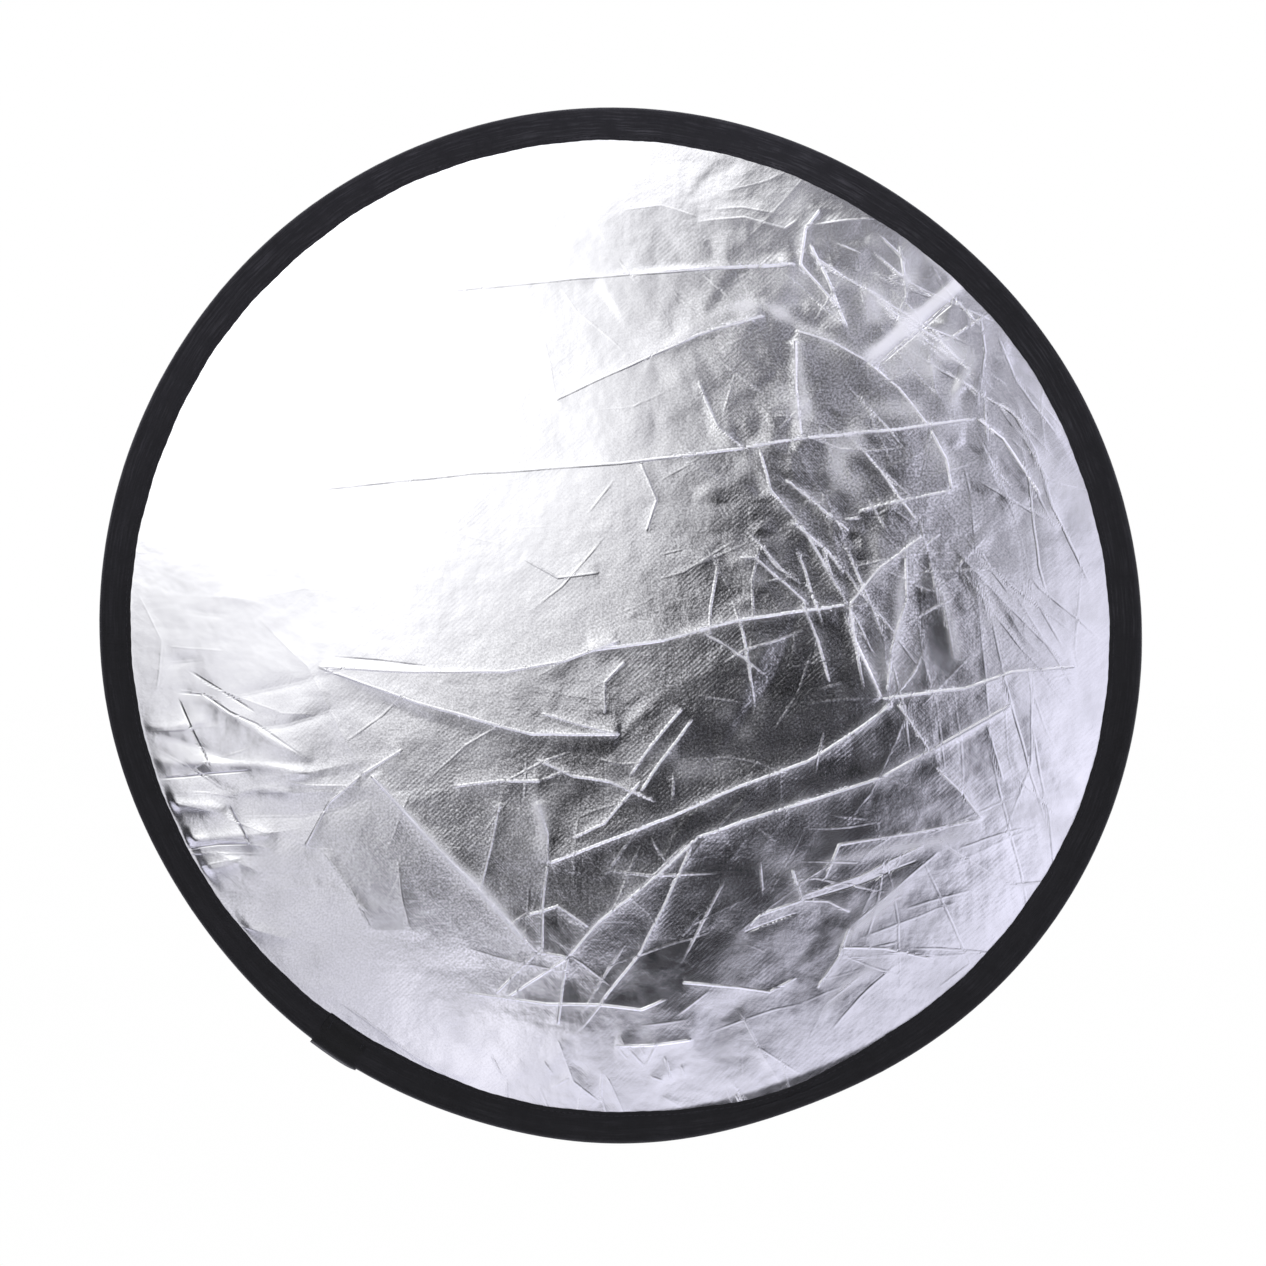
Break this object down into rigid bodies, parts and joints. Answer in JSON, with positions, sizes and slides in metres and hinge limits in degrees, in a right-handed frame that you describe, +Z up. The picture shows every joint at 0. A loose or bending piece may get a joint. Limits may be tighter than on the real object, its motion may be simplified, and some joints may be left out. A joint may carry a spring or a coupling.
{
  "type": "collapsible reflector disc",
  "caption": "Round collapsible light reflector: silver foil fabric, black folded edge binding and a sprung steel hoop that bends and folds.",
  "frame": {"origin": "centre of the disc, halfway through its thickness", "axes": "+Z up, disc upright; the disc's own axis lies along Y; the silver face looks along -Y and the gold back along +Y"},
  "size_m": [0.5998, 0.0072, 0.6],
  "materials": {
    "silver_foil_fabric": "gloss",
    "gold_foil_fabric": "gloss",
    "binding_tape": "satin",
    "spring_steel": "satin",
    "ferrule_steel": "satin",
    "black_thread": "matte"
  },
  "bodies": {
    "centre": {"silver_face_centre": "silver_foil_fabric", "back_face_centre": "gold_foil_fabric", "edge_binding_centre": "binding_tape", "spring_band_centre": "spring_steel", "front_stitching_centre": "black_thread", "back_stitching_centre": "black_thread"},
    "left_inner": {"silver_face_left_inner": "silver_foil_fabric", "back_face_left_inner": "gold_foil_fabric", "edge_binding_left_inner": "binding_tape", "spring_band_left_inner": "spring_steel", "front_stitching_left_inner": "black_thread", "back_stitching_left_inner": "black_thread"},
    "left_outer": {"silver_face_left_outer": "silver_foil_fabric", "back_face_left_outer": "gold_foil_fabric", "edge_binding_left_outer": "binding_tape", "spring_band_left_outer": "spring_steel", "front_stitching_left_outer": "black_thread", "back_stitching_left_outer": "black_thread", "band_ferrule": "ferrule_steel", "binding_overlap": "binding_tape", "overlap_bartack": "black_thread"},
    "right_inner": {"silver_face_right_inner": "silver_foil_fabric", "back_face_right_inner": "gold_foil_fabric", "edge_binding_right_inner": "binding_tape", "spring_band_right_inner": "spring_steel", "front_stitching_right_inner": "black_thread", "back_stitching_right_inner": "black_thread"},
    "right_outer": {"silver_face_right_outer": "silver_foil_fabric", "back_face_right_outer": "gold_foil_fabric", "edge_binding_right_outer": "binding_tape", "spring_band_right_outer": "spring_steel", "front_stitching_right_outer": "black_thread", "back_stitching_right_outer": "black_thread"}
  },
  "joints": [
    {"name": "left_inner_bend", "type": "hinge", "parent": "centre", "child": "left_inner", "pos_m": [-0.04, 0, 0], "axis": [0, 0, 1], "range_deg": [-55, 55], "stiffness_Nm_per_rad": 0.5},
    {"name": "right_inner_bend", "type": "hinge", "parent": "centre", "child": "right_inner", "pos_m": [0.04, 0, 0], "axis": [0, 0, -1], "range_deg": [-55, 55], "stiffness_Nm_per_rad": 0.5},
    {"name": "left_outer_bend", "type": "hinge", "parent": "left_inner", "child": "left_outer", "pos_m": [-0.12, 0, 0], "axis": [0, 0, 1], "range_deg": [-55, 55], "stiffness_Nm_per_rad": 0.5},
    {"name": "right_outer_bend", "type": "hinge", "parent": "right_inner", "child": "right_outer", "pos_m": [0.12, 0, 0], "axis": [0, 0, -1], "range_deg": [-55, 55], "stiffness_Nm_per_rad": 0.5}
  ],
  "couplings": [
    {"joint": "right_inner_bend", "follows": "left_inner_bend", "ratio": 1},
    {"joint": "left_outer_bend", "follows": "left_inner_bend", "ratio": 1},
    {"joint": "right_outer_bend", "follows": "left_inner_bend", "ratio": 1}
  ]
}
